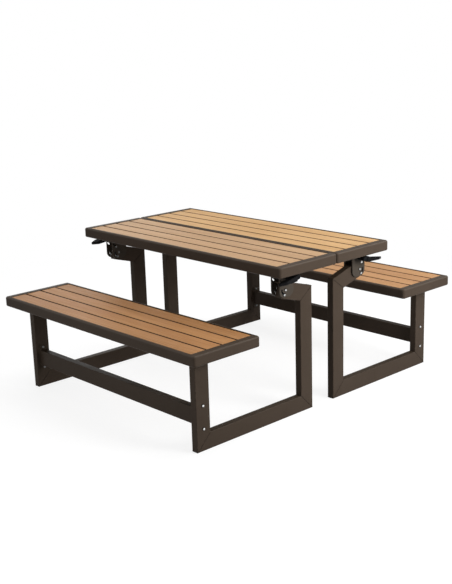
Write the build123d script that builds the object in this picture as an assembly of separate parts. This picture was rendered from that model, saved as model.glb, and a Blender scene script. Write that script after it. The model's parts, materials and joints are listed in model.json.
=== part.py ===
from build123d import *
import os
from math import asin, atan2, cos, degrees, radians, sin, sqrt, tan

# A pair of convertible benches, set face to face. Each has a seat, and a table half that tips
# up about a hinge to become the backrest. Millimetres, +Z up, origin on the floor under the
# middle of the table. X runs along the benches, and the near bench's seat lies towards -Y.
# The near bench is built in place, and the far one is the same bench turned half round about Z.

# Panels: the table halves and the seats
panel_length = 1400.0
table_depth = 364.0
seat_depth = 371.0
table_height = 728.0
seat_height = 462.5
seat_reach = 861.0            # middle of the table to the outer edge of a seat
seam_gap = 2.0                # between the two table halves

# Rim around a panel, a pressed channel with a rounded shoulder and foot
rim_height = 48.5
rim_wall = 2.5
rim_side_width = 14.0
rim_end_width = 32.0
rim_lip_width = 12.0          # bottom flange, which carries the bearers
rim_corner = 12.0
rim_shoulder = 9.0
rim_foot = 7.0

# Planks inside the rim
plank_count = 4
plank_gap = 5.0
plank_fit = 0.6
plank_thickness = 18.0
plank_recess = 2.0
plank_edge = 2.5

# Cross bearers under the planks
bearer_width = 45.0
bearer_wall = 2.0
bearer_count = 3
bearer_fit = 0.5              # end of a bearer to the rim

# End frames of rectangular tube
frame_span = 1224.0           # over the outer faces of a bench's two end frames
tube_depth = 75.0
tube_width = 35.0
tube_wall = 1.6
tube_corner = 2.5
rear_leg_offset = 110.0       # middle of the table to the middle of a rear leg
seat_leg_offset = 746.0       # middle of the table to the middle of a seat leg
arm_angle = 16.0
arm_overrun = 9.0             # arm's end beyond the hinge

# Stretcher between the seat legs
stretcher_height = 150.0
stretcher_plate = 3.0
stretcher_plate_width = 42.0
stretcher_plate_margin = 12.0
stretcher_bolt_spread = 103.0

# Bolts
bolt_radius = 4.0
bolt_clearance = 0.2
washer_radius = 7.5
washer_thickness = 1.2
bolt_head_radius = 5.0
bolt_head_height = 4.0
bolt_head_dome = 2.5
nut_radius = 7.0
nut_height = 5.0
collar_radius = 8.0

# Hinge between the arm and the table half
pivot_offset = 252.0          # middle of the table to the hinge
hinge_drop = 130.0            # top of the table to the hinge
hinge_lift = 3.5              # hinge above the arm's middle line
ear_thickness = 6.0
ear_gap = 3.0                 # each ear to the arm's side
ear_slip = 0.3                # ear to the collar and to the washer
ear_back = 52.0
ear_front = 36.0
ear_drop = 33.0
ear_round = 30.0
web_thickness = 4.0
running_fit = 0.05
tilt_travel = 75.0
stop_radius = 21.6
stop_angle = 68.0             # stop bolt below the line from the hinge to the seat
stop_bolt_radius = 2.0
stop_clearance = 0.35

# Lock pin in slots of the ears
lock_angle = 67.0             # pin above the line from the hinge to the seat
lock_radius = 34.0            # hinge to the pin
lock_slope = 47.0             # slot's rise towards the seat
lock_slot = 22.0              # between the middles of a slot's two round ends
lock_pin_radius = 4.0
lock_fit = 0.1
lock_head_radius = 5.2
lock_head_height = 2.5

# Release lever under the end of the table: a hub with a flat leaf, on a journal through both ears
lever_back = 8.0              # hinge to the journal, towards the table's middle
lever_rise = 58.5             # hinge to the journal, upwards
lever_journal_radius = 7.0
lever_cap_radius = 10.0
lever_cap_height = 3.0
lever_boss_radius = 11.0
lever_slip = 0.4              # a lever or a lock pin's head to the ears
lever_standoff = 45.0         # outer ear to the hub
lever_droop = 9.0
hub_thickness = 11.0
hub_radius = 12.5
hub_edge = 3.0
hub_tail = 31.0               # journal to the hub's end towards the table's middle
hub_tail_radius = 11.0
hub_nose = 34.0               # journal to the hub's end towards the seat
hub_nose_radius = 7.0
leaf_reach = 100.0            # journal to the leaf's tip
leaf_tip_radius = 6.5
leaf_belly = 64.0             # journal to the leaf's widest place
leaf_belly_radius = 18.0
leaf_root_radius = 9.0
leaf_top = 9.0                # journal's axis to the leaf's upper face
leaf_thickness = 25.0         # at the root
leaf_tip_thickness = 11.0
leaf_edge = 2.8
leaf_roll = 9.0               # outer edge of the leaf raised
finger_width = 4.0            # finger that pushes the lock pin along its slot
finger_thickness = 8.0
finger_gap = 0.8
finger_overrun = 2.5

# Places worked out from the sizes above
frame_x = (frame_span - tube_width) / 2
outer_face_x = frame_span / 2
inner_face_x = outer_face_x - tube_width
bearer_drop = rim_height - rim_wall    # panel's top to the underside of its bearers
bearer_height = bearer_drop - plank_recess - plank_thickness
table_underside = table_height - bearer_drop
seat_underside = seat_height - bearer_drop
ear_inner_x = tube_width / 2 + ear_gap
ear_outer_x = ear_inner_x + ear_thickness
pivot_height = table_height - hinge_drop
ear_rise = table_underside - pivot_height
arm_direction = Vector(0, -cos(radians(arm_angle)), sin(radians(arm_angle)))
arm_fall = (pivot_offset - rear_leg_offset) * tan(radians(arm_angle))
upwards = Vector(0, 0, 1)
outwards = Vector(0, -1, 0)   # from the table's middle to the near seat
pivot = Vector(0, -pivot_offset, pivot_height)
arm_end = pivot - upwards * hinge_lift + arm_direction * arm_overrun
seat_corner = Vector(0, -seat_leg_offset, tube_depth / 2)
rear_corner = Vector(0, -rear_leg_offset, tube_depth / 2)
arm_corner = Vector(0, -rear_leg_offset, pivot_height - hinge_lift - arm_fall)


def seatward(angle, distance):
    """Point in the hinge's plane, at an angle above the line from the hinge to the seat."""
    return Vector(0, -distance * cos(radians(angle)), distance * sin(radians(angle)))


def rod(radius, start, end):
    """Cylinder along X from start to end."""
    return Pos((start + end) / 2, 0, 0) * Rot(0, 90, 0) * Cylinder(radius, end - start)


# End frames

def tube(first, last, cap=0.0):
    """Rectangular tube along a straight line, its last end open or closed by a cap."""
    run = last - first
    section = Plane(origin=first, x_dir=(1, 0, 0), z_dir=run)
    outside = RectangleRounded(tube_width, tube_depth, tube_corner)
    inside = RectangleRounded(tube_width - 2 * tube_wall, tube_depth - 2 * tube_wall,
                              tube_corner - tube_wall)
    shell = extrude(section * outside, run.length)
    return shell - extrude(section * inside, run.length - cap)


def mitred(piece, corner, along, other):
    """Cut a tube that leaves the corner along one direction where it meets another tube."""
    return split(piece, bisect_by=Plane(origin=corner, z_dir=along - other), keep=Keep.TOP)


def bottom_rail():
    rail = tube(seat_corner + outwards * tube_depth, rear_corner - outwards * tube_depth)
    rail = mitred(rail, seat_corner, outwards * -1, upwards)
    return mitred(rail, rear_corner, outwards, upwards)


def stretcher_bolt_places():
    half = stretcher_bolt_spread / 2
    return [Pos(0, -seat_leg_offset, stretcher_height + rise) for rise in (-half, half)]


def seat_leg():
    top = Vector(0, -seat_leg_offset, seat_underside)
    leg = mitred(tube(seat_corner - upwards * tube_depth, top), seat_corner, upwards, outwards * -1)
    for place in stretcher_bolt_places():
        leg -= place * rod(bolt_radius + bolt_clearance, -tube_width, tube_width)
    return leg


def rear_leg():
    leg = tube(rear_corner - upwards * tube_depth, arm_corner + upwards * tube_depth)
    leg = mitred(leg, rear_corner, upwards, outwards)
    return mitred(leg, arm_corner, upwards * -1, arm_direction)


def hinge_bolt_places():
    """Place and radius of each hinge bolt at an arm: the one the table half turns on, and the stop."""
    stop = pivot + seatward(-stop_angle, stop_radius)
    return [(Pos(pivot), bolt_radius), (Pos(stop), stop_bolt_radius)]


def arm():
    piece = tube(arm_corner - arm_direction * tube_depth, arm_end, tube_wall)
    piece = mitred(piece, arm_corner, arm_direction, upwards * -1)
    for place, radius in hinge_bolt_places():
        piece -= place * rod(radius + bolt_clearance, -tube_width, tube_width)
    return piece


def stretcher():
    """Tube between the seat legs, with a bolted plate at each end."""
    middle = Vector(0, -seat_leg_offset, stretcher_height)
    half_run = inner_face_x - stretcher_plate
    section = Plane(origin=middle - Vector(half_run, 0, 0), x_dir=(0, 1, 0), z_dir=(1, 0, 0))
    outside = RectangleRounded(tube_width, tube_depth, tube_corner)
    inside = RectangleRounded(tube_width - 2 * tube_wall, tube_depth - 2 * tube_wall,
                              tube_corner - tube_wall)
    piece = extrude(section * outside, 2 * half_run) - extrude(section * inside, 2 * half_run)
    plate_height = stretcher_bolt_spread + 2 * stretcher_plate_margin
    for side in (-1, 1):
        plate_x = side * (half_run + stretcher_plate / 2)
        plate = Pos(middle) * Pos(plate_x, 0, 0) * Box(stretcher_plate, stretcher_plate_width, plate_height)
        plate = fillet(plate.edges().filter_by(Axis.X), tube_corner)
        for place in stretcher_bolt_places():
            plate -= Pos(plate_x, 0, 0) * place * rod(bolt_radius + bolt_clearance,
                                                      -stretcher_plate, stretcher_plate)
        piece += plate
    return piece


# Bolts

def bolt(radius, grip):
    """Domed bolt along X. Its washer bears at x = 0, and its nut ends the grip."""
    head = rod(bolt_head_radius, washer_thickness, washer_thickness + bolt_head_height)
    head = fillet(head.edges().sort_by(Axis.X)[-1], bolt_head_dome)
    hexagon = Plane(origin=(-grip, 0, 0), z_dir=(-1, 0, 0)) * RegularPolygon(nut_radius, 6)
    shank = rod(radius, -grip, washer_thickness)
    return rod(washer_radius, 0, washer_thickness) + head + shank + extrude(hexagon, nut_height)


def stretcher_bolts():
    right = Pos(outer_face_x, 0, 0)
    piece = bolt(bolt_radius, tube_width + stretcher_plate)
    bolts = []
    for place in stretcher_bolt_places():
        bolts.append(right * place * piece)
        bolts.append(right.inverse() * place * Rot(0, 0, 180) * piece)
    return Compound(bolts)


def hinge_bolts():
    """Bolts through the ears and the arm, with a collar between each ear and the arm."""
    face = ear_outer_x + ear_slip
    collar = rod(collar_radius, tube_width / 2, ear_inner_x - ear_slip)
    bolts = []
    for place, radius in hinge_bolt_places():
        piece = Pos(face, 0, 0) * bolt(radius, 2 * face) + collar + Rot(0, 0, 180) * collar
        bolts.append(Pos(frame_x, 0, 0) * place * piece)
        bolts.append(Pos(-frame_x, 0, 0) * place * Rot(0, 0, 180) * piece)
    return Compound(bolts)


# Panels, with the middle of the rim's top at the origin

def panel_rim(depth):
    outside = Pos(0, 0, -rim_height / 2) * Box(panel_length, depth, rim_height)
    outside = fillet(outside.edges().filter_by(Axis.Z), rim_corner)
    outside = fillet(outside.faces().sort_by(Axis.Z)[-1].edges(), rim_shoulder)
    outside = fillet(outside.faces().sort_by(Axis.Z)[0].edges(), rim_foot)
    hollow = Box(panel_length - 2 * rim_wall, depth - 2 * rim_wall, rim_height - 2 * rim_wall)
    hollow = fillet(hollow.edges().filter_by(Axis.Z), rim_corner - rim_wall)
    hollow = fillet(hollow.faces().sort_by(Axis.Z)[-1].edges(), rim_shoulder - rim_wall)
    hollow = fillet(hollow.faces().sort_by(Axis.Z)[0].edges(), rim_foot - rim_wall)
    rim = outside - Pos(0, 0, -rim_height / 2) * hollow
    rim -= Box(panel_length - 2 * rim_end_width, depth - 2 * rim_side_width, rim_height)
    opening = Box(panel_length - 2 * rim_lip_width, depth - 2 * rim_lip_width, rim_height)
    return rim - Pos(0, 0, -rim_height) * opening


def panel_planks(depth):
    """Planks from the table's middle outwards, or from the back of the seat to its front."""
    length = panel_length - 2 * (rim_end_width + plank_fit)
    field = depth - 2 * (rim_side_width + plank_fit)
    width = (field - (plank_count - 1) * plank_gap) / plank_count
    plank = Box(length, width, plank_thickness)
    plank = fillet(plank.faces().sort_by(Axis.Z)[-1].edges(), plank_edge)
    drop = -plank_recess - plank_thickness / 2
    first = (field - width) / 2
    return [Pos(0, first - row * (width + plank_gap), drop) * plank for row in range(plank_count)]


def panel_bearers(depth):
    """Bearers that lie on the rim's lip, clear of the round of its foot."""
    length = depth - 2 * (rim_foot + bearer_fit)
    bearer = Box(bearer_width, length, bearer_height)
    bearer -= Box(bearer_width - 2 * bearer_wall, length, bearer_height - 2 * bearer_wall)
    drop = bearer_height / 2 - bearer_drop
    step = 2 * frame_x / (bearer_count - 1)
    return Compound([Pos(-frame_x + step * row, 0, drop) * bearer for row in range(bearer_count)])


# Hinge bracket, lock pin and lever, with the hinge's axis at the origin

def hinge_bracket():
    """Saddle with two ears that straddle the arm."""
    width = ear_back + ear_front
    middle = (ear_back - ear_front) / 2
    outline = Pos(middle, (ear_rise - ear_drop) / 2) * Rectangle(width, ear_rise + ear_drop)
    outline = fillet(outline.vertices().sort_by(Axis.Y)[:2], ear_round)
    outline -= Circle(bolt_radius + running_fit)
    outline -= Pos(lever_back, lever_rise) * Circle(lever_journal_radius + running_fit)
    stop_path = CenterArc((0, 0), stop_radius, 180 + stop_angle - tilt_travel, tilt_travel)
    outline -= SlotArc(stop_path, 2 * (stop_bolt_radius + stop_clearance))
    slot_middle = seatward(lock_angle, lock_radius) + seatward(lock_slope, lock_slot / 2)
    slot = SlotCenterToCenter(lock_slot, 2 * (lock_pin_radius + lock_fit))
    outline -= Pos(slot_middle.Y, slot_middle.Z) * Rot(0, 0, -lock_slope) * slot
    ear = extrude(Plane.YZ * outline, ear_thickness)
    web = Pos(0, middle, ear_rise - web_thickness / 2) * Box(2 * ear_outer_x, width, web_thickness)
    return web + Pos(ear_inner_x, 0, 0) * ear + Pos(-ear_outer_x, 0, 0) * ear


def lock_pin():
    """Pin through both ears, with a head outside each."""
    face = ear_outer_x + lever_slip
    pin = rod(lock_pin_radius, -face, face)
    head = rod(lock_head_radius, face, face + lock_head_height)
    head = fillet(head.edges().sort_by(Axis.X)[-1], lock_head_height / 2)
    return Pos(seatward(lock_angle, lock_radius)) * (pin + head + Rot(0, 0, 180) * head)


def lever_finger():
    """Finger that reaches down from the journal, past the lock pin's side towards the hinge."""
    to_pin = seatward(lock_angle, lock_radius) - Vector(0, lever_back, lever_rise)
    aside = lock_pin_radius + finger_gap + finger_width / 2
    length = sqrt(to_pin.length ** 2 - aside ** 2) + finger_overrun
    turn = degrees(atan2(to_pin.Z, to_pin.Y) + asin(aside / to_pin.length))
    outline = Rot(0, 0, turn) * Pos(length / 2, 0) * Rectangle(length, finger_width)
    return extrude(Plane.YZ * outline, finger_thickness / 2, both=True)


def lever_hub():
    nose = seatward(-lever_droop, hub_nose - hub_nose_radius)
    tail = seatward(-lever_droop, hub_tail_radius - hub_tail)
    nose_round = Pos(nose.Y, nose.Z) * Circle(hub_nose_radius)
    tail_round = Pos(tail.Y, tail.Z) * Circle(hub_tail_radius)
    outline = make_hull(nose_round.edges() + tail_round.edges() + Circle(hub_radius).edges())
    hub = extrude(Plane.YZ * outline, hub_thickness)
    return fillet(hub.faces().filter_by(Axis.X).edges(), hub_edge)


def lever_leaf():
    """Leaf to pull on, flat on top and thinner towards its tip."""
    belly = Pos(0, -leaf_belly) * Circle(leaf_belly_radius)
    tip = Pos(0, leaf_tip_radius - leaf_reach) * Circle(leaf_tip_radius)
    outline = make_hull(Circle(leaf_root_radius).edges() + belly.edges() + tip.edges())
    leaf = Pos(0, 0, leaf_top - leaf_thickness) * extrude(outline, leaf_thickness)
    taper = (leaf_thickness - leaf_tip_thickness) / (leaf_reach + leaf_root_radius)
    start, finish = 2 * leaf_root_radius, -leaf_reach - leaf_root_radius
    below = leaf_top - 2 * leaf_thickness
    underside = Plane.YZ * make_face(Polyline((start, below),
                                              (start, leaf_top - leaf_thickness - taper * leaf_root_radius),
                                              (finish, leaf_top - leaf_tip_thickness
                                               + taper * leaf_root_radius),
                                              (finish, below), close=True))
    leaf -= extrude(underside, 2 * leaf_belly_radius, both=True)
    broad_faces = leaf.faces().sort_by(Axis.Z)
    leaf = fillet(broad_faces[0].edges() + broad_faces[-1].edges(), leaf_edge)
    slope = Plane(origin=(0, 0, 0), x_dir=(1, 0, 0), z_dir=seatward(90 - lever_droop, 1))
    return slope.location * Rot(0, -leaf_roll, 0) * leaf


def lever(side):
    """Lever with its journal's axis at the origin. side is 1 at the right end and -1 at the left."""
    hub_face = ear_outer_x + lever_standoff
    stop_face = ear_outer_x + lever_slip
    piece = Pos(hub_face, 0, 0) * lever_hub()
    piece += Pos(hub_face + hub_thickness / 2, 0, 0) * lever_leaf()
    piece += rod(lever_boss_radius, stop_face, hub_face)
    piece += rod(lever_journal_radius, -stop_face, stop_face)
    piece += rod(lever_cap_radius, -stop_face - lever_cap_height, -stop_face)
    piece += lever_finger()
    return piece if side > 0 else mirror(piece, about=Plane.YZ)


# One bench, as a dictionary of its named pieces

def bench():
    seat_place = Pos(0, seat_depth / 2 - seat_reach, seat_height)
    table_place = Pos(0, -(seam_gap + table_depth) / 2, table_height)
    pieces = {
        "stretcher": stretcher(),
        "stretcher_bolts": stretcher_bolts(),
        "hinge_bolts": hinge_bolts(),
        "seat_rim": seat_place * panel_rim(seat_depth),
        "seat_bearers": seat_place * panel_bearers(seat_depth),
        "table_rim": table_place * panel_rim(table_depth),
        "table_bearers": table_place * panel_bearers(table_depth),
    }
    for number, plank in enumerate(panel_planks(seat_depth), 1):
        pieces[f"seat_plank_{number}"] = seat_place * plank
    for number, plank in enumerate(panel_planks(table_depth), 1):
        pieces[f"table_plank_{number}"] = table_place * plank
    for name, side in (("left", -1), ("right", 1)):
        end = Pos(side * frame_x, 0, 0)
        pieces[f"{name}_bottom_rail"] = end * bottom_rail()
        pieces[f"{name}_seat_leg"] = end * seat_leg()
        pieces[f"{name}_rear_leg"] = end * rear_leg()
        pieces[f"{name}_arm"] = end * arm()
        hinge = end * Pos(pivot)
        pieces[f"{name}_hinge_bracket"] = hinge * hinge_bracket()
        pieces[f"{name}_lock_pin"] = hinge * lock_pin()
        pieces[f"{name}_lever"] = hinge * Pos(0, lever_back, lever_rise) * lever(side)
    return pieces


os.makedirs("parts", exist_ok=True)
for node, piece in bench().items():
    export_step(piece, f"parts/near_{node}.step")
    export_step(Rot(0, 0, 180) * piece, f"parts/far_{node}.step")
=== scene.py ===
import json
import math
import bmesh
import bpy
from mathutils import Matrix, Vector


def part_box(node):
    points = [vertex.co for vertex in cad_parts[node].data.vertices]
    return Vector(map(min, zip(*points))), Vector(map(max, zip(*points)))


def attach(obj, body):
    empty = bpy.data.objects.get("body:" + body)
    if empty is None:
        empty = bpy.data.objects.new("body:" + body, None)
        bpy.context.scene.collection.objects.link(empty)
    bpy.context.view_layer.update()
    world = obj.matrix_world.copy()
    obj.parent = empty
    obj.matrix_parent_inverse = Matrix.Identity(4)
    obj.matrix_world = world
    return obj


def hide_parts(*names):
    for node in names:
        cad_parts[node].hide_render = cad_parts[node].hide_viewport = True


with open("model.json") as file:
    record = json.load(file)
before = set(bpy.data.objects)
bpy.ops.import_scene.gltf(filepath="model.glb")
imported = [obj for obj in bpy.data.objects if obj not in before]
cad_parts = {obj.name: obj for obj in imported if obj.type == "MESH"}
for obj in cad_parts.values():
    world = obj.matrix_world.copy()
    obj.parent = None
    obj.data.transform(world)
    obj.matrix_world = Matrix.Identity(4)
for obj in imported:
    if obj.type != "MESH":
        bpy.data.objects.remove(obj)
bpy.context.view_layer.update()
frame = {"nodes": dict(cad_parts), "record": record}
nodes = frame["nodes"]
scene = bpy.context.scene
scene.view_settings.view_transform = "Standard"
units = ("near", "far")
ends = ("left", "right")
hexagon = 6
print("frame loaded:", len(nodes), "nodes")


# node trees

nodeSpacing = 190


def plug(tree, socket, value):
    # a socket takes a link or a plain value
    if isinstance(value, bpy.types.NodeSocket):
        tree.links.new(value, socket)
    else:
        socket.default_value = value


def put(tree, kind, sockets=None, **settings):
    node = tree.nodes.new(kind)
    node.location = (nodeSpacing * len(tree.nodes), 0)
    for name, value in settings.items():
        setattr(node, name, value)
    for key, value in (sockets or {}).items():
        plug(tree, node.inputs[key], value)
    return node


def newGroup(name, kind, inputs, outputs):
    tree = bpy.data.node_groups.new(name, kind)
    for side, sockets in (("INPUT", inputs), ("OUTPUT", outputs)):
        for label, socketType in sockets:
            tree.interface.new_socket(label, in_out=side, socket_type="NodeSocket" + socketType)
    return tree, put(tree, "NodeGroupInput").outputs


def mathNode(tree, operation, first, second=0.0):
    return put(tree, "ShaderNodeMath", {0: first, 1: second}, operation=operation).outputs[0]


def spread(tree, value, band, result=(0.0, 1.0), **settings):
    sockets = {"Value": value, "From Min": band[0], "From Max": band[1],
               "To Min": result[0], "To Max": result[1]}
    return put(tree, "ShaderNodeMapRange", sockets, **settings).outputs["Result"]


def noise(tree, vector, scale, texture):
    # texture of (detail, roughness)
    sockets = {"Vector": vector, "Scale": scale, "Detail": texture[0], "Roughness": texture[1]}
    return put(tree, "ShaderNodeTexNoise", sockets).outputs["Fac"]


def mixColour(tree, factor, first, second):
    sockets = {0: factor, 6: first, 7: second}
    return put(tree, "ShaderNodeMix", sockets, data_type="RGBA").outputs[2]


def stretched(tree, vector, scale):
    return put(tree, "ShaderNodeMapping", {"Vector": vector, "Scale": scale}).outputs["Vector"]


def upwardPart(tree, coordinates):
    return put(tree, "ShaderNodeSeparateXYZ", {0: coordinates["Normal"]}).outputs["Z"]


# powder coat: cloudy paint and fine peel, shinier on rounded shoulders, with painted shade (a darker
# colour) where a face looks up
coatBands = {"cloudTexture": (4.0, 0.55), "peelTexture": (2.0, 0.6), "cloud": (0.35, 0.65),
             "fleck": (0.62, 0.8), "fleckShare": 0.35, "upper": (0.45, 0.95), "upperShare": 0.85,
             "gloss": (0.3, 0.7), "glossSwing": 0.05, "shoulder": (0.1, 0.45), "top": (0.8, 0.98)}


def powderCoatGroup():
    bands = coatBands
    tree, given = newGroup(
        "powderCoat", "ShaderNodeTree",
        (("Paint", "Color"), ("Deep Paint", "Color"), ("Fleck", "Color"), ("Upper Tone", "Color"),
         ("Cloud Scale", "Float"), ("Peel Scale", "Float"), ("Gloss", "Float"), ("Coat", "Float"),
         ("Shoulder Coat", "Float"), ("Upper Coat", "Float")),
        (("Color", "Color"), ("Roughness", "Float"), ("Coat", "Float"), ("Height", "Float")))
    coordinates = put(tree, "ShaderNodeTexCoord").outputs
    clouds = noise(tree, coordinates["Object"], given["Cloud Scale"], bands["cloudTexture"])
    speckle = noise(tree, coordinates["Object"], given["Peel Scale"], bands["peelTexture"])
    cloudy = spread(tree, clouds, bands["cloud"])
    paint = mixColour(tree, cloudy, given["Deep Paint"], given["Paint"])
    flecks = spread(tree, speckle, bands["fleck"], (0.0, bands["fleckShare"]))
    flecked = mixColour(tree, flecks, paint, given["Fleck"])
    upward = upwardPart(tree, coordinates)
    # painted shade: faces that look up are mixed toward a darker colour
    topShadeMask = spread(tree, upward, bands["upper"], (0.0, bands["upperShare"]))
    topShaded = mixColour(tree, topShadeMask, flecked, given["Upper Tone"])
    swing = spread(tree, clouds, bands["gloss"], (-bands["glossSwing"], bands["glossSwing"]))
    rough = mathNode(tree, "ADD", given["Gloss"], swing)
    rise = spread(tree, upward, bands["shoulder"], (given["Coat"], given["Shoulder Coat"]))
    coat = spread(tree, upward, bands["top"], (rise, given["Upper Coat"]))
    put(tree, "NodeGroupOutput", {"Color": topShaded, "Roughness": rough, "Coat": coat, "Height": speckle})
    return tree


# plank grain: long streaks, arched growth lines and fine pores, moved along for each plank, with painted
# shade on the plank sides and ends
grainNoises = {"broad": {"stretch": (1.6, 14.0, 14.0), "texture": (3.0, 0.5)},
               "streak": {"stretch": (5.0, 260.0, 260.0), "texture": (4.0, 0.6)},
               "pore": {"stretch": (38.0, 900.0, 900.0), "texture": (2.0, 0.5)}}
grainWave = {"stretch": (0.9, 26.0, 10.0), "distortion": 5.0, "detail": 2.0, "detailScale": 1.2}
grainBands = {"broad": (0.3, 0.7), "growth": (0.55, 1.0), "fibre": (0.42, 0.75), "pore": (0.62, 0.72),
              "edge": (0.995, 0.85), "roughFrom": (0.3, 0.7), "roughTo": (0.44, 0.6),
              "streakRelief": 0.6, "shiftAlong": 3.71, "shiftUp": 1.93}


def plankGrainGroup():
    bands = grainBands
    tree, given = newGroup(
        "plankGrain", "ShaderNodeTree",
        (("Pale", "Color"), ("Middle", "Color"), ("Dark", "Color"), ("Streaks", "Float"),
         ("Growth Lines", "Float"), ("Pores", "Float"), ("Plank Shift", "Float"), ("Seed", "Float"),
         ("Edge Stain", "Color")),
        (("Color", "Color"), ("Roughness", "Float"), ("Height", "Float")))
    coordinates = put(tree, "ShaderNodeTexCoord").outputs
    row = put(tree, "ShaderNodeAttribute", attribute_name="plankRow").outputs["Fac"]
    number = mathNode(tree, "ADD", row, given["Seed"])
    along = mathNode(tree, "MULTIPLY", number, bands["shiftAlong"])
    lift = mathNode(tree, "MULTIPLY", number, bands["shiftUp"])
    shift = put(tree, "ShaderNodeCombineXYZ", {"X": along, "Y": 0.0, "Z": lift}).outputs[0]
    moved = put(tree, "ShaderNodeVectorMath", {0: coordinates["Object"], 1: shift},
                operation="ADD").outputs[0]
    broad, streak, pore = (noise(tree, stretched(tree, moved, look["stretch"]), 1.0, look["texture"])
                           for look in grainNoises.values())
    wave = put(tree, "ShaderNodeTexWave",
               {"Vector": stretched(tree, moved, grainWave["stretch"]), "Scale": 1.0,
                "Distortion": grainWave["distortion"], "Detail": grainWave["detail"],
                "Detail Scale": grainWave["detailScale"]}, bands_direction="Y").outputs["Fac"]
    body = mixColour(tree, spread(tree, broad, bands["broad"]), given["Middle"], given["Pale"])
    growth = mathNode(tree, "MULTIPLY", spread(tree, wave, bands["growth"]), given["Growth Lines"])
    ringed = mixColour(tree, growth, body, given["Dark"])
    fibre = mathNode(tree, "MULTIPLY", spread(tree, streak, bands["fibre"]), given["Streaks"])
    streaked = mixColour(tree, fibre, ringed, given["Dark"])
    poreMask = spread(tree, pore, bands["pore"])
    poreShare = mathNode(tree, "MULTIPLY", poreMask, given["Pores"])
    pored = mixColour(tree, poreShare, streaked, given["Dark"])
    tone = put(tree, "ShaderNodeTexWhiteNoise", {"W": number}, noise_dimensions="1D").outputs["Value"]
    tint = mathNode(tree, "MULTIPLY", spread(tree, tone, (0.0, 1.0), (-1.0, 1.0)), given["Plank Shift"])
    brightness = mathNode(tree, "ADD", 1.0, tint)
    shaded = put(tree, "ShaderNodeHueSaturation", {"Color": pored, "Value": brightness}).outputs["Color"]
    # painted shade: the sides and ends of the planks, down in the gaps, are mixed toward a dark colour
    flatness = mathNode(tree, "ABSOLUTE", upwardPart(tree, coordinates))
    gapShaded = mixColour(tree, spread(tree, flatness, bands["edge"]), shaded, given["Edge Stain"])
    rough = spread(tree, streak, bands["roughFrom"], bands["roughTo"])
    ridges = mathNode(tree, "MULTIPLY", streak, bands["streakRelief"])
    relief = mathNode(tree, "SUBTRACT", ridges, poreMask)
    put(tree, "NodeGroupOutput", {"Color": gapShaded, "Roughness": rough, "Height": relief})
    return tree


# moulded or plated finish: slight smears and a fine grain
fineBands = {"smearTexture": (4.0, 0.6), "grainTexture": (2.0, 0.55), "worn": (0.35, 0.7),
             "rough": (0.3, 0.7)}


def fineFinishGroup():
    bands = fineBands
    tree, given = newGroup(
        "fineFinish", "ShaderNodeTree",
        (("Base", "Color"), ("Worn", "Color"), ("Smear Scale", "Float"), ("Grain Scale", "Float"),
         ("Smooth", "Float"), ("Rough", "Float")),
        (("Color", "Color"), ("Roughness", "Float"), ("Height", "Float")))
    place = put(tree, "ShaderNodeTexCoord").outputs["Object"]
    smear = noise(tree, place, given["Smear Scale"], bands["smearTexture"])
    grain = noise(tree, place, given["Grain Scale"], bands["grainTexture"])
    colour = mixColour(tree, spread(tree, smear, bands["worn"]), given["Base"], given["Worn"])
    rough = spread(tree, smear, bands["rough"], (given["Smooth"], given["Rough"]))
    put(tree, "NodeGroupOutput", {"Color": colour, "Roughness": rough, "Height": grain})
    return tree


def rgb(red, green, blue):
    return (red, green, blue, 1.0)


def emptyMaterial(name):
    material = bpy.data.materials.new(name)
    material.use_nodes = True
    material.node_tree.nodes.clear()
    return material, material.node_tree


def finishFrom(name, kind, look):
    material, tree = emptyMaterial(name)
    effect = put(tree, "ShaderNodeGroup", look, node_tree=kind["group"])
    relief = put(tree, "ShaderNodeBump", {"Strength": kind["bump"], "Distance": kind["depth"],
                                          "Height": effect.outputs["Height"]})
    sockets = {"Base Color": effect.outputs["Color"], "Roughness": effect.outputs["Roughness"],
               "Normal": relief.outputs["Normal"], **kind["plain"]}
    if "Coat" in effect.outputs:
        sockets["Coat Weight"] = effect.outputs["Coat"]
    shader = put(tree, "ShaderNodeBsdfPrincipled", sockets)
    put(tree, "ShaderNodeOutputMaterial", {"Surface": shader.outputs["BSDF"]})
    return material


fineFinish = fineFinishGroup()
paintKind = {"group": powderCoatGroup(), "bump": 0.25, "depth": 0.0004,
             "plain": {"Specular IOR Level": 0.018, "Coat Roughness": 0.4}}
woodKind = {"group": plankGrainGroup(), "bump": 0.5, "depth": 0.0006,
            "plain": {"Specular IOR Level": 0.15}}
steelKind = {"group": fineFinish, "bump": 0.1, "depth": 0.0002, "plain": {"Metallic": 1.0}}
plasticKind = {"group": fineFinish, "bump": 0.2, "depth": 0.0003, "plain": {"Specular IOR Level": 0.05}}

# the darker colour for up-facing faces is painted shade
bronzeLook = {"Paint": rgb(0.0668, 0.0493, 0.0368), "Deep Paint": rgb(0.0597, 0.0436, 0.032),
              "Fleck": rgb(0.11, 0.095, 0.08), "Upper Tone": rgb(0.049, 0.035, 0.024),
              "Cloud Scale": 5.0, "Peel Scale": 620.0, "Gloss": 0.4, "Coat": 0.07,
              "Shoulder Coat": 0.3, "Upper Coat": 0.0}
bracketLook = {**bronzeLook, "Paint": rgb(0.073, 0.061, 0.049), "Deep Paint": rgb(0.065, 0.054, 0.043)}
# very dark paint for the weld beads: painted shade for the mitre lines
weldShadeLook = {**bronzeLook, "Paint": rgb(0.026, 0.0185, 0.013), "Deep Paint": rgb(0.022, 0.0155, 0.011)}
# Gap Shade is painted shade for the gaps between planks
seatLook = {"Pale": rgb(0.457, 0.228, 0.085), "Middle": rgb(0.382, 0.179, 0.062),
            "Dark": rgb(0.17, 0.07, 0.025), "Streaks": 0.42, "Growth Lines": 0.2, "Pores": 0.5,
            "Plank Shift": 0.05, "Seed": 1.0, "Edge Stain": rgb(0.036, 0.012, 0.004)}
farSeatLook = {**seatLook, "Pale": rgb(0.5, 0.266, 0.109), "Middle": rgb(0.418, 0.209, 0.08),
               "Seed": 31.0}
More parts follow.
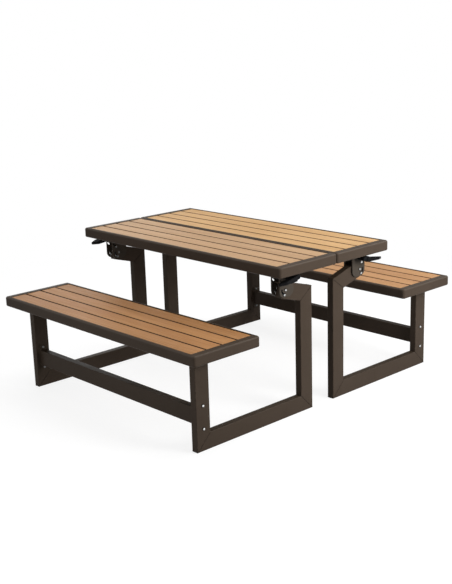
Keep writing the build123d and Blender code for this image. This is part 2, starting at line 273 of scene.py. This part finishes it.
nearTableLook = {"Pale": rgb(0.515, 0.325, 0.17), "Middle": rgb(0.45, 0.273, 0.136),
                 "Dark": rgb(0.24, 0.11, 0.04), "Streaks": 0.38, "Growth Lines": 0.18, "Pores": 0.45,
                 "Plank Shift": 0.05, "Seed": 11.0, "Edge Stain": rgb(0.05, 0.017, 0.005)}
farTableLook = {**nearTableLook, "Pale": rgb(0.635, 0.39, 0.17), "Middle": rgb(0.558, 0.327, 0.127),
                "Dark": rgb(0.27, 0.12, 0.04), "Seed": 21.0, "Edge Stain": rgb(0.055, 0.019, 0.006)}
zincLook = {"Base": rgb(0.93, 0.93, 0.92), "Worn": rgb(0.82, 0.82, 0.81), "Smear Scale": 160.0,
            "Grain Scale": 2400.0, "Smooth": 0.42, "Rough": 0.55}
dullSteelLook = {**zincLook, "Base": rgb(0.2, 0.2, 0.195), "Worn": rgb(0.13, 0.13, 0.128),
                 "Smooth": 0.5, "Rough": 0.65}
blackLook = {"Base": rgb(0.0045, 0.0045, 0.005), "Worn": rgb(0.008, 0.008, 0.0085),
             "Smear Scale": 60.0, "Grain Scale": 1800.0, "Smooth": 0.38, "Rough": 0.52}

bronzePaint = finishFrom("bronzePaint", paintKind, bronzeLook)
bracketPaint = finishFrom("bracketPaint", paintKind, bracketLook)
seamPaint = finishFrom("seamPaint", paintKind, weldShadeLook)
plankWood = {"near": {"seat": finishFrom("seatWood", woodKind, seatLook),
                      "table": finishFrom("nearTableWood", woodKind, nearTableLook)},
             "far": {"seat": finishFrom("farSeatWood", woodKind, farSeatLook),
                     "table": finishFrom("farTableWood", woodKind, farTableLook)}}
brightZinc = finishFrom("brightZinc", steelKind, zincLook)
dullSteel = finishFrom("dullSteel", steelKind, dullSteelLook)
blackPlastic = finishFrom("blackPlastic", plasticKind, blackLook)
slotFinish = {"bronze_paint": bronzePaint, "seat_wood": plankWood["near"]["seat"],
              "table_wood": plankWood["near"]["table"], "zinc_steel": brightZinc,
              "black_plastic": blackPlastic}
print("finishes made:", len(bpy.data.materials))


# every node that stays gets the finish of its slot
for entry in frame["record"]["subparts"]:
    solid = nodes[entry["node"]]
    solid.data.materials.clear()
    solid.data.materials.append(slotFinish[entry["material_slot"]])
    solid.data.polygons.foreach_set("material_index", [0] * len(solid.data.polygons))


# mesh work

def newObject(name, mesh):
    thing = bpy.data.objects.new(name, mesh)
    scene.collection.objects.link(thing)
    return thing


def meshFrom(shape, name):
    mesh = bpy.data.meshes.new(name)
    shape.to_mesh(mesh)
    shape.free()
    return mesh


def smoothFaces(mesh):
    mesh.polygons.foreach_set("use_smooth", [True] * len(mesh.polygons))


def plainMesh(thing):
    # live modifiers become a plain mesh
    bpy.context.view_layer.update()
    shaped = thing.evaluated_get(bpy.context.evaluated_depsgraph_get())
    mesh = bpy.data.meshes.new_from_object(shaped)
    thing.modifiers.clear()
    thing.data = mesh
    return thing


def useTree(thing, tree, values):
    modifier = thing.modifiers.new(tree.name, "NODES")
    modifier.node_group = tree
    for item in tree.interface.items_tree:
        if item.in_out == "INPUT" and item.name in values:
            modifier[item.identifier] = values[item.name]
    return plainMesh(thing)


def endTree(tree, shape, finish, label):
    # every tree leaves a whole mesh in one finish
    whole = put(tree, "GeometryNodeRealizeInstances", {"Geometry": shape}).outputs["Geometry"]
    painted = put(tree, "GeometryNodeSetMaterial", {"Geometry": whole, "Material": finish})
    put(tree, "NodeGroupOutput", {label: painted.outputs["Geometry"]})
    return tree


def setDown(thing, body, material, replaced=()):
    # a finished piece rides on its body
    if not thing.data.materials:
        thing.data.materials.append(material)
    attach(thing, body)
    if replaced:
        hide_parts(*replaced)
    return thing


def panelBody(unit, panel):
    return f"{unit}_frame" if panel == "seat" else f"{unit}_table"


def halfTurn(unit):
    # the far bench is the near one turned half round
    return Matrix.Rotation(math.pi if unit == "far" else 0.0, 4, "Z")


def flatNormals(thing):
    smoothFaces(thing.data)
    thing.modifiers.new("flatFaces", "WEIGHTED_NORMAL").keep_sharp = True
    return plainMesh(thing)


# planks: one rounded board, repeated across the panel
plankSizes = {"edge": 0.004, "edgeSteps": 3, "edgeRoundness": 0.5, "count": 4}


def plankRowTree():
    tree, given = newGroup("plankRow", "GeometryNodeTree",
                           (("Plank", "Geometry"), ("Count", "Int"), ("Pitch", "Vector"),
                            ("Finish", "Material")), (("Planks", "Geometry"),))
    line = put(tree, "GeometryNodeMeshLine", {"Count": given["Count"], "Offset": given["Pitch"]},
               mode="OFFSET")
    boards = put(tree, "GeometryNodeInstanceOnPoints",
                 {"Points": line.outputs["Mesh"], "Instance": given["Plank"]}).outputs["Instances"]
    row = put(tree, "GeometryNodeInputIndex").outputs["Index"]
    marked = put(tree, "GeometryNodeStoreNamedAttribute",
                 {"Geometry": boards, "Name": "plankRow", "Value": row},
                 data_type="FLOAT", domain="INSTANCE").outputs["Geometry"]
    return endTree(tree, marked, given["Finish"], "Planks")


def makePlanks(unit, panel, tree):
    size = plankSizes
    material = plankWood[unit][panel]
    names = [f"{unit}_{panel}_plank_{number}" for number in range(1, size["count"] + 1)]
    low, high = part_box(names[0])
    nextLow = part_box(names[1])[0]
    board = bmesh.new()
    bmesh.ops.create_cube(board, size=1.0)
    bmesh.ops.scale(board, vec=high - low, verts=board.verts)
    bmesh.ops.translate(board, vec=(low + high) / 2, verts=board.verts)
    bmesh.ops.bevel(board, geom=board.edges[:], offset=size["edge"], segments=size["edgeSteps"],
                    profile=size["edgeRoundness"], affect="EDGES")
    mesh = meshFrom(board, f"{unit}{panel.title()}Planks")
    thing = newObject(mesh.name, mesh)
    useTree(thing, tree, {"Count": size["count"], "Pitch": nextLow - low, "Finish": material})
    flatNormals(thing)
    return setDown(thing, panelBody(unit, panel), material, names)


plankRow = plankRowTree()
for unit in units:
    for panel in ("seat", "table"):
        makePlanks(unit, panel, plankRow)
print("planks laid")


# turned pieces: rings of (along X, radius, sides), closed at both ends; sides 0 is round
turnedWork = {"segments": 24, "sharpAngle": 35.0}


def ringRadius(radius, sides, angle):
    if not sides:
        return radius
    step = 2 * math.pi / sides
    return radius * math.cos(step / 2) / math.cos((angle + step / 2) % step - step / 2)


def lathe(target, rings, segments):
    loops = []
    for along, radius, sides in rings:
        loop = []
        for step in range(segments):
            angle = 2 * math.pi * step / segments
            reach = ringRadius(radius, sides, angle)
            loop.append(target.verts.new((along, reach * math.cos(angle), reach * math.sin(angle))))
        loops.append(loop)
    for first, second in zip(loops, loops[1:]):
        for step in range(segments):
            after = (step + 1) % segments
            target.faces.new((first[step], first[after], second[after], second[step]))
    target.faces.new(reversed(loops[0]))
    target.faces.new(loops[-1])


def latheMesh(name, solids, segments=turnedWork["segments"]):
    shape = bmesh.new()
    for rings in solids:
        lathe(shape, rings, segments)
    bmesh.ops.recalc_face_normals(shape, faces=shape.faces)
    mesh = meshFrom(shape, name)
    smoothFaces(mesh)
    mesh.set_sharp_from_angle(angle=math.radians(turnedWork["sharpAngle"]))
    return mesh


def domeRings(base, height, radius, dome, sides=0):
    # dome of (share of the height, share of the radius)
    return tuple((base + rise * height, radius * width, sides) for rise, width in dome)


# bolts: a domed socket head, a shank and a nut, with a black washer under the head
boltSizes = {"headRadius": 0.005, "headHeight": 0.004,
             "headDome": ((0.0, 1.0), (0.3, 1.0), (0.6, 0.94), (0.85, 0.8), (0.975, 0.64), (1.0, 0.52)),
             "socketRadius": 0.0024, "socketDepth": 0.002, "socketEdge": 0.0003,
             "nutRadius": 0.0058, "nutHeight": 0.005, "nutCrown": 0.82, "nutChamfer": 0.0007,
             "nutFlange": 0.0008, "nutStep": 0.0004, "tail": 0.0015, "tailChamfer": 0.0008,
             "collarRadius": 0.008, "washerRadius": 0.0075, "washerHeight": 0.0012,
             "washerFoot": 0.0003, "washerDrop": 0.0004, "washerLip": 0.0005}


def headRings(base):
    size = boltSizes
    top = base + size["headHeight"]
    socket, edge = size["socketRadius"], size["socketEdge"]
    dome = domeRings(base, size["headHeight"], size["headRadius"], size["headDome"])
    return dome + ((top, socket + edge, hexagon), (top - edge, socket, hexagon),
                   (top - size["socketDepth"], socket, hexagon))


def boltMesh(name, shank, grip, collars):
    size = boltSizes
    rim = size["washerHeight"]
    nut, flange, chamfer = size["nutRadius"], size["nutFlange"], size["tailChamfer"]
    nutEnd = -grip - size["nutHeight"]
    tail = nutEnd - size["tail"]
    nutRings = ((nutEnd, nut * size["nutCrown"], 0), (nutEnd + size["nutChamfer"], nut, hexagon),
                (-grip - flange - size["nutStep"], nut, hexagon), (-grip - flange, nut, 0),
                (-grip, nut, 0))
    tailRings = ((tail, shank - chamfer, 0), (tail + chamfer, shank, 0), (-grip, shank, 0))
    solids = [headRings(rim), ((-grip, shank, 0), (rim, shank, 0))]
    for start, end in collars:
        solids.append(((start, size["collarRadius"], 0), (end, size["collarRadius"], 0)))
    return latheMesh(name, solids), latheMesh(f"{name}Nut", [nutRings, tailRings])


def washerMesh(name):
    size = boltSizes
    washer, rim, foot = size["washerRadius"], size["washerHeight"], size["washerFoot"]
    rings = ((0.0, washer - foot, 0), (foot, washer, 0), (rim - size["washerDrop"], washer, 0),
             (rim, washer - size["washerLip"], 0), (rim, size["headRadius"], 0))
    return latheMesh(name, [rings])


def boltsOnPointsTree():
    tree, given = newGroup("boltsOnPoints", "GeometryNodeTree",
                           (("Places", "Geometry"), ("Bolt", "Object"), ("Size", "Float"),
                            ("Finish", "Material")), (("Bolts", "Geometry"),))
    shape = put(tree, "GeometryNodeObjectInfo", {"Object": given["Bolt"]}).outputs["Geometry"]
    turn = put(tree, "GeometryNodeInputNamedAttribute", {"Name": "turn"},
               data_type="FLOAT_VECTOR").outputs["Attribute"]
    rotation = put(tree, "FunctionNodeEulerToRotation", {"Euler": turn}).outputs["Rotation"]
    copies = put(tree, "GeometryNodeInstanceOnPoints",
                 {"Points": given["Places"], "Instance": shape, "Rotation": rotation,
                  "Scale": given["Size"]}).outputs["Instances"]
    return endTree(tree, copies, given["Finish"], "Bolts")


def pointsObject(name, places):
    # places of (point, turn about X, Y and Z)
    mesh = bpy.data.meshes.new(name)
    mesh.from_pydata([point for point, turn in places], [], [])
    turns = mesh.attributes.new("turn", "FLOAT_VECTOR", "POINT")
    turns.data.foreach_set("vector", [value for point, turn in places for value in turn])
    return newObject(name, mesh)


boltsOnPoints = boltsOnPointsTree()


def placeBolts(name, patterns, body, material, replaced=()):
    # patterns of (mesh, places), set out one by one and joined
    whole = bmesh.new()
    for mesh, places in patterns:
        pattern = newObject(mesh.name, mesh)
        copies = useTree(pointsObject(f"{name}Places", places), boltsOnPoints,
                         {"Bolt": pattern, "Size": 1.0, "Finish": material})
        whole.from_mesh(copies.data)
        bpy.data.objects.remove(copies)
        bpy.data.objects.remove(pattern)
    return setDown(newObject(name, meshFrom(whole, name)), body, material, replaced)


benchPlaces = {"frameX": 0.5945, "outerX": 0.612, "legY": 0.746, "boltHeights": (0.0985, 0.2015),
               "legGrip": 0.038, "hingeY": 0.252, "hingeZ": 0.598, "stopRadius": 0.0216,
               "stopAngle": 68.0, "earFace": 0.0268, "armSide": 0.0175, "earInner": 0.0202,
               "boltShank": 0.004, "stopShank": 0.002}


def bothEnds(points, offset):
    # the right end's bolts look along +X, the left end's along -X
    places = []
    for y, z in points:
        places.append(((offset, y, z), (0.0, 0.0, 0.0)))
        places.append(((-offset, y, z), (0.0, 0.0, math.pi)))
    return places


def turned(places, unit):
    if unit == "near":
        return places
    return [((-x, -y, z), (0.0, 0.0, turn[2] + math.pi)) for (x, y, z), turn in places]


def makeBolts(unit):
    at = benchPlaces
    body = f"{unit}_frame"
    legPoints = [(-at["legY"], height) for height in at["boltHeights"]]
    legPlaces = turned(bothEnds(legPoints, at["outerX"]), unit)
    legBolt, legNut = boltMesh(f"{unit}LegBolt", at["boltShank"], at["legGrip"], ())
    placeBolts(f"{unit}StretcherBolts", [(legBolt, legPlaces)], body, brightZinc,
               (f"{unit}_stretcher_bolts",))
    angle = math.radians(at["stopAngle"])
    stopY = -at["hingeY"] - at["stopRadius"] * math.cos(angle)
    stopZ = at["hingeZ"] - at["stopRadius"] * math.sin(angle)
    face = at["earFace"]
    pivotPlaces = turned(bothEnds([(-at["hingeY"], at["hingeZ"])], at["frameX"] + face), unit)
    stopPlaces = turned(bothEnds([(stopY, stopZ)], at["frameX"] + face), unit)
    collars = ((-face - at["earInner"], -face - at["armSide"]),
               (-face + at["armSide"], -face + at["earInner"]))
    pivotBolt, pivotNut = boltMesh(f"{unit}PivotBolt", at["boltShank"], 2 * face, collars)
    stopBolt, stopNut = boltMesh(f"{unit}StopBolt", at["stopShank"], 2 * face, collars)
    placeBolts(f"{unit}HingeBolts", [(pivotBolt, pivotPlaces), (stopBolt, stopPlaces)], body,
               brightZinc, (f"{unit}_hinge_bolts",))
    nuts = [(legNut, legPlaces), (pivotNut, pivotPlaces), (stopNut, stopPlaces)]
    placeBolts(f"{unit}Nuts", nuts, body, dullSteel)
    washers = [(washerMesh(f"{unit}Washer"), legPlaces + pivotPlaces + stopPlaces)]
    placeBolts(f"{unit}Washers", washers, body, blackPlastic)


for unit in units:
    makeBolts(unit)
print("bolts set")


# black pieces in the curved slots of the brackets, with a thin flange on the ear's face: painted shade
# that closes the slots and keeps them dark
slotShadeSizes = {"inner": 0.0021, "outer": 0.0023, "flange": 0.0042, "from": 0.0206, "seat": 0.02652,
              "to": 0.02675, "travel": 75.0, "arcSteps": 16, "endSteps": 6}
slotShadeSection = (("from", "inner"), ("to", "inner"), ("to", "flange"), ("seat", "flange"),
                ("seat", "outer"), ("from", "outer"))


def roundEnd(radius, angle, half, begin):
    steps = slotShadeSizes["endSteps"]
    points = []
    for step in range(1, steps):
        swing = begin + math.pi * step / steps
        outwards, onwards = radius + half * math.cos(swing), half * math.sin(swing)
        points.append((outwards * math.cos(angle) - onwards * math.sin(angle),
                       outwards * math.sin(angle) + onwards * math.cos(angle)))
    return points


def arc(radius, angles):
    return [(radius * math.cos(angle), radius * math.sin(angle)) for angle in angles]


def slotOutline(half):
    radius = benchPlaces["stopRadius"]
    finish = math.radians(180 + benchPlaces["stopAngle"])
    start = finish - math.radians(slotShadeSizes["travel"])
    steps = slotShadeSizes["arcSteps"]
    angles = [start + (finish - start) * step / steps for step in range(steps + 1)]
    return (arc(radius + half, angles) + roundEnd(radius, finish, half, 0.0)
            + arc(radius - half, reversed(angles)) + roundEnd(radius, start, half, math.pi))


def makeSlotShades(unit):
    at, size = benchPlaces, slotShadeSizes
    section = [(size[depth], slotOutline(size[half])) for depth, half in slotShadeSection]
    shape = bmesh.new()
    for end in (-at["frameX"], at["frameX"]):
        for side in (-1, 1):
            loops = [[shape.verts.new((end + side * depth, y - at["hingeY"], z + at["hingeZ"]))
                      for y, z in outline] for depth, outline in section]
            for first, second in zip(loops, loops[1:] + loops[:1]):
                for n in range(len(first)):
                    shape.faces.new((first[n - 1], first[n], second[n], second[n - 1]))
    bmesh.ops.recalc_face_normals(shape, faces=shape.faces)
    mesh = meshFrom(shape, f"{unit}SlotLiners")
    mesh.transform(halfTurn(unit))
    return setDown(newObject(mesh.name, mesh), f"{unit}_table", blackPlastic)


# the black slot pieces are painted shade
for unit in units:
    makeSlotShades(unit)
print("slots lined")


# lock pins: bright heads on a painted shank
pinSizes = {"head": 0.0052, "headHeight": 0.0025, "shank": 0.004,
            "headDome": ((0.0, 1.0), (0.56, 1.0), (0.84, 0.9), (1.0, 0.6))}


def makePin(unit, end):
    size = pinSizes
    node = f"{unit}_{end}_lock_pin"
    low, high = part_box(node)
    middle = (low + high) / 2
    face = (high.x - low.x) / 2 - size["headHeight"]
    plusHead = domeRings(face, size["headHeight"], size["head"], size["headDome"])
    minusHead = tuple((-along, radius, sides) for along, radius, sides in reversed(plusHead))
    seen, hidden = (plusHead, minusHead) if middle.x > 0 else (minusHead, plusHead)
    shank = ((-face, size["shank"], 0), (face, size["shank"], 0))
    for name, rings, slot, material, replaced in (
            ("PinHead", seen, "zinc_steel", brightZinc, (node,)),
            ("PinEnd", hidden, "zinc_steel", dullSteel, ()),
            ("PinShank", shank, "bronze_paint", bronzePaint, ())):
        mesh = latheMesh(f"{unit}{end.title()}{name}", [rings])
        mesh.transform(Matrix.Translation(middle))
        setDown(newObject(mesh.name, mesh), f"{unit}_{end}_pin", material, replaced)


# coil spring on each lever's boss
springSizes = {"journalY": 0.244, "journalZ": 0.6565, "radius": 0.0124, "wire": 0.0011, "turns": 9.0,
               "turnSteps": 28, "start": 0.624, "length": 0.038, "sides": 8}


def coilTree():
    tree, given = newGroup("coilSpring", "GeometryNodeTree",
                           (("Radius", "Float"), ("Length", "Float"), ("Turns", "Float"),
                            ("Turn Steps", "Int"), ("Wire", "Float"), ("Sides", "Int"),
                            ("Finish", "Material")), (("Spring", "Geometry"),))
    coil = put(tree, "GeometryNodeCurveSpiral",
               {"Resolution": given["Turn Steps"], "Rotations": given["Turns"],
                "Start Radius": given["Radius"], "End Radius": given["Radius"],
                "Height": given["Length"]}).outputs["Curve"]
    ring = put(tree, "GeometryNodeCurvePrimitiveCircle",
               {"Resolution": given["Sides"], "Radius": given["Wire"]}).outputs["Curve"]
    wire = put(tree, "GeometryNodeCurveToMesh",
               {"Curve": coil, "Profile Curve": ring, "Fill Caps": True}).outputs["Mesh"]
    smooth = put(tree, "GeometryNodeSetShadeSmooth", {"Geometry": wire}).outputs["Geometry"]
    return endTree(tree, smooth, given["Finish"], "Spring")


def makeSpring(unit, end, tree):
    size = springSizes
    side = 1 if end == "right" else -1
    mesh = bpy.data.meshes.new(f"{unit}{end.title()}Spring")
    spring = newObject(mesh.name, mesh)
    useTree(spring, tree, {"Radius": size["radius"], "Length": size["length"], "Turns": size["turns"],
                           "Turn Steps": size["turnSteps"], "Wire": size["wire"],
                           "Sides": size["sides"], "Finish": blackPlastic})
    seat = Matrix.Translation((side * size["start"], -size["journalY"], size["journalZ"]))
    outwards = Matrix.Rotation(side * math.pi / 2, 4, "Y")
    spring.data.transform(halfTurn(unit) @ seat @ outwards)
    setDown(spring, f"{unit}_{end}_lever", blackPlastic)


coilSpring = coilTree()
for unit in units:
    for end in ends:
        makePin(unit, end)
        makeSpring(unit, end, coilSpring)
print("lock pins and springs fitted")


# screws up through the bearers into the planks, left out where a leg or a bracket is in the way
screwSizes = {"head": 0.0042, "height": 0.0022, "sunk": 0.0004, "sunkWidth": 0.9, "segments": 16,
              "dome": ((0.0, 1.0), (0.5, 1.0), (0.88, 0.84), (1.0, 0.62)),
              "socket": ((1.0, 0.4), (0.4, 0.38)), "across": 0.013,
              "bearerX": (-0.5945, 0.0, 0.5945), "skipRow": 2, "webBelow": 0.004,
              "webY": (0.214, 0.276)}


def underScrewMesh(name):
    size = screwSizes
    head, height = size["head"], size["height"]
    rings = (((-size["sunk"], head * size["sunkWidth"], 0),)
             + domeRings(0.0, height, head, size["dome"])
             + domeRings(0.0, height, head, size["socket"], hexagon))
    return latheMesh(name, [rings], size["segments"])


def makeUnderScrews(unit, panel):
    size = screwSizes
    down = (0.0, math.pi / 2, 0.0)
    pair = (-size["across"], size["across"])
    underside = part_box(f"{unit}_{panel}_bearers")[0].z
    points = []
    for row in range(plankSizes["count"]):
        low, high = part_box(f"{unit}_{panel}_plank_{row + 1}")
        for x in size["bearerX"]:
            if x and row == size["skipRow"]:
                continue
            points += [(x + step, (low.y + high.y) / 2, underside) for step in pair]
    if panel == "table":
        sign = -1 if unit == "near" else 1
        points += [(x + step, sign * y, underside - size["webBelow"])
                   for x in size["bearerX"] if x for y in size["webY"] for step in pair]
    screws = [(underScrewMesh(f"{unit}{panel}Screw"), [(point, down) for point in points])]
    placeBolts(f"{unit}{panel.title()}Screws", screws, panelBody(unit, panel), brightZinc)


for unit in units:
    for panel in ("seat", "table"):
        makeUnderScrews(unit, panel)
print("screws driven")


# weld seams round the mitres of the end frames, in a very dark paint that is painted shade for the dark
# mitre lines
weldSizes = {"bead": 0.0011, "ripple": 0.18, "rippleStep": 1.9, "spacing": 0.0022, "sides": 6,
             "tubeWidth": 0.035, "tubeDepth": 0.075, "corner": 0.0025, "cornerSteps": 4,
             "seatCornerY": 0.746, "rearCornerY": 0.110, "cornerZ": 0.0375, "armAngle": 16.0,
             "armCornerZ": 0.553782}


def weldTree():
    tree, given = newGroup("weldBead", "GeometryNodeTree",
                           (("Seams", "Geometry"), ("Bead", "Float"), ("Ripple", "Float"),
                            ("Ripple Step", "Float"), ("Spacing", "Float"), ("Sides", "Int"),
                            ("Finish", "Material")), (("Beads", "Geometry"),))
    line = put(tree, "GeometryNodeMeshToCurve", {"Mesh": given["Seams"]}).outputs["Curve"]
    even = put(tree, "GeometryNodeResampleCurve", {"Curve": line, "Length": given["Spacing"]},
               mode="LENGTH").outputs["Curve"]
    index = put(tree, "GeometryNodeInputIndex").outputs["Index"]
    wave = mathNode(tree, "SINE", mathNode(tree, "MULTIPLY", index, given["Ripple Step"]))
    swing = mathNode(tree, "MULTIPLY", wave, given["Ripple"])
    width = mathNode(tree, "MULTIPLY", mathNode(tree, "ADD", swing, 1.0), given["Bead"])
    ring = put(tree, "GeometryNodeCurvePrimitiveCircle",
               {"Resolution": given["Sides"], "Radius": 1.0}).outputs["Curve"]
    bead = put(tree, "GeometryNodeCurveToMesh",
               {"Curve": even, "Profile Curve": ring, "Scale": width}).outputs["Mesh"]
    return endTree(tree, bead, given["Finish"], "Beads")


def seamLoop(corner, along, other, x):
    # rounded outline of the tube in the plane where two tubes meet
    size = weldSizes
    middle = (along + other).normalized()
    stretch = 1 / math.sin(along.angle(other) / 2)
    inset = size["corner"]
    points = []
    for signX, signM, start in ((1, 1, 0), (-1, 1, 90), (-1, -1, 180), (1, -1, 270)):
        for step in range(size["cornerSteps"] + 1):
            angle = math.radians(start + 90 * step / size["cornerSteps"])
            across = signX * (size["tubeWidth"] / 2 - inset) + inset * math.cos(angle)
            down = (signM * (size["tubeDepth"] / 2 - inset) + inset * math.sin(angle)) * stretch
            points.append(corner + Vector((x + across, 0, 0)) + middle * down)
    return points


def makeWelds(unit, tree):
    size = weldSizes
    upwards, outwards = Vector((0, 0, 1)), Vector((0, -1, 0))
    tilt = math.radians(size["armAngle"])
    armward = Vector((0, -math.cos(tilt), math.sin(tilt)))
    corners = ((Vector((0, -size["seatCornerY"], size["cornerZ"])), upwards, -outwards),
               (Vector((0, -size["rearCornerY"], size["cornerZ"])), upwards, outwards),
               (Vector((0, -size["rearCornerY"], size["armCornerZ"])), -upwards, armward))
    lowest = size["bead"] * (1 + size["ripple"])  # the bead stays above the ground
    points, edges = [], []
    for x in (-benchPlaces["frameX"], benchPlaces["frameX"]):
        for corner, along, other in corners:
            loop = seamLoop(corner, along, other, x)
            for point in loop:
                point.z = max(point.z, lowest)
            first = len(points)
            points += loop
            edges += [(first + n, first + (n + 1) % len(loop)) for n in range(len(loop))]
    mesh = bpy.data.meshes.new(f"{unit}FrameWelds")
    mesh.from_pydata(points, edges, [])
    mesh.transform(halfTurn(unit))
    thing = newObject(mesh.name, mesh)
    useTree(thing, tree, {"Bead": size["bead"], "Ripple": size["ripple"],
                          "Ripple Step": size["rippleStep"], "Spacing": size["spacing"],
                          "Sides": size["sides"], "Finish": seamPaint})
    smoothFaces(thing.data)
    return setDown(thing, f"{unit}_frame", seamPaint)


weldBead = weldTree()
for unit in units:
    makeWelds(unit, weldBead)
print("welds run")


# pressed parts get their edges eased
easedEdges = {"bracket": 0.0009, "stretcher": 0.0008, "steps": 2, "angle": 40.0, "merge": 0.00001,
              "flatAngle": 0.5}


def easedCopy(node, name, width):
    size = easedEdges
    shape = bmesh.new()
    shape.from_mesh(nodes[node].data)
    bmesh.ops.remove_doubles(shape, verts=shape.verts, dist=size["merge"])
    bmesh.ops.dissolve_limit(shape, angle_limit=math.radians(size["flatAngle"]), verts=shape.verts,
                             edges=shape.edges)
    thing = newObject(name, meshFrom(shape, name))
    ease = thing.modifiers.new("easedEdges", "BEVEL")
    ease.width = width
    ease.segments = size["steps"]
    ease.limit_method = "ANGLE"
    ease.angle_limit = math.radians(size["angle"])
    ease.use_clamp_overlap = True
    return flatNormals(plainMesh(thing))


for unit in units:
    for end in ends:
        node = f"{unit}_{end}_hinge_bracket"
        bracket = easedCopy(node, f"{unit}{end.title()}Bracket", easedEdges["bracket"])
        setDown(bracket, f"{unit}_table", bracketPaint, (node,))
    stretcher = easedCopy(f"{unit}_stretcher", f"{unit}Stretcher", easedEdges["stretcher"])
    setDown(stretcher, f"{unit}_frame", bronzePaint, (f"{unit}_stretcher",))
print("pressed parts eased")


# floor, light and camera
floorLook = {"reach": 5.0, "drop": 0.0006, "tone": 0.22, "glow": 0.85, "fade": (1.3, 3.2)}
worldLook = {"ambient": 0.2, "background": 1.0}
lampLook = {
    "overhead": {"place": (-0.5, 0.2, 4.2), "aim": (-0.2, 0.0, 0.4), "size": 4.0, "watts": 98.0,
                 "mirrored": True},
    "rightSide": {"place": (2.7, 0.5, 1.35), "aim": (0.0, 0.1, 0.6), "size": 1.4, "watts": 65.0,
                  "mirrored": False},
    "frontFill": {"place": (0.3, -2.4, 0.2), "aim": (0.0, -0.8, 0.3), "size": 1.4, "watts": 9.0,
                  "mirrored": True},
    "shoulder": {"place": (1.6, 2.6, 2.9), "aim": (0.3, 0.0, 0.6), "size": 2.0, "watts": 36.0,
                 "mirrored": True},
    "backLeft": {"place": (-3.6, 1.6, 1.3), "aim": (0.0, 0.0, 0.5), "size": 1.8, "watts": 11.0,
                 "mirrored": True},
}
cameraLook = {"place": (3.5602, -3.3295, 1.7234), "azimuth": 47.1625, "elevation": 14.8489,
              "roll": -1.7676, "sensor": 36.0, "focalPixels": 1010.97, "longSidePixels": 584}
white = rgb(1.0, 1.0, 1.0)


def seenDirectly(tree):
    path = put(tree, "ShaderNodeLightPath").outputs
    mirrored = mathNode(tree, "MAXIMUM", path["Is Glossy Ray"], path["Is Transmission Ray"])
    return mathNode(tree, "MAXIMUM", path["Is Camera Ray"], mirrored)


def makeFloor():
    reach, z, tone = floorLook["reach"], -floorLook["drop"], floorLook["tone"]
    corners = [(-reach, -reach, z), (reach, -reach, z), (reach, reach, z), (-reach, reach, z)]
    mesh = bpy.data.meshes.new("floor")
    mesh.from_pydata(corners, [], [(0, 1, 2, 3)])
    material, tree = emptyMaterial("paleFloor")
    matt = put(tree, "ShaderNodeBsdfDiffuse", {"Color": rgb(tone, tone, tone)})
    strength = mathNode(tree, "MULTIPLY", seenDirectly(tree), floorLook["glow"])
    glow = put(tree, "ShaderNodeEmission", {"Color": white, "Strength": strength})
    both = put(tree, "ShaderNodeAddShader", {0: matt.outputs[0], 1: glow.outputs[0]})
    place = put(tree, "ShaderNodeTexCoord").outputs["Object"]
    distance = put(tree, "ShaderNodeVectorMath", {0: place}, operation="LENGTH").outputs["Value"]
    fade = spread(tree, distance, floorLook["fade"], interpolation_type="SMOOTHSTEP")
    clear = put(tree, "ShaderNodeBsdfTransparent")
    faded = put(tree, "ShaderNodeMixShader", {0: fade, 1: both.outputs[0], 2: clear.outputs[0]})
    put(tree, "ShaderNodeOutputMaterial", {"Surface": faded.outputs[0]})
    mesh.materials.append(material)
    newObject("floor", mesh)


def makeWorld():
    world = bpy.data.worlds.new("paleStudio")
    scene.world = world
    world.use_nodes = True
    tree = world.node_tree
    tree.nodes.clear()
    levels = (worldLook["ambient"], worldLook["background"])
    gain = spread(tree, seenDirectly(tree), (0.0, 1.0), levels)
    light = put(tree, "ShaderNodeBackground", {"Color": white, "Strength": gain})
    put(tree, "ShaderNodeOutputWorld", {"Surface": light.outputs[0]})


def makeLamp(name, look):
    lamp = bpy.data.lights.new(name, "AREA")
    lamp.shape = "DISK"
    lamp.size = look["size"]
    lamp.energy = look["watts"]
    thing = newObject(name, lamp)
    thing.visible_camera = False
    thing.visible_glossy = look["mirrored"]
    thing.location = look["place"]
    aim = Vector(look["aim"]) - Vector(look["place"])
    thing.rotation_euler = aim.to_track_quat("-Z", "Y").to_euler()


def makeCamera():
    look = cameraLook
    azimuth, elevation, roll = (math.radians(look[key]) for key in ("azimuth", "elevation", "roll"))
    forward = Vector((-math.sin(azimuth) * math.cos(elevation),
                      math.cos(azimuth) * math.cos(elevation), -math.sin(elevation)))
    right = forward.cross(Vector((0, 0, 1))).normalized()
    up = right.cross(forward)
    across = right * math.cos(roll) + up * math.sin(roll)
    above = up * math.cos(roll) - right * math.sin(roll)
    data = bpy.data.cameras.new("photoCamera")
    data.sensor_width = look["sensor"]
    data.lens = look["focalPixels"] * look["sensor"] / look["longSidePixels"]
    thing = newObject("photoCamera", data)
    turn = Matrix((across, above, -forward)).transposed().to_4x4()
    thing.matrix_world = Matrix.Translation(Vector(look["place"])) @ turn
    scene.camera = thing


makeFloor()
makeWorld()
for lampName, look in lampLook.items():
    makeLamp(lampName, look)
makeCamera()
print("stage set")
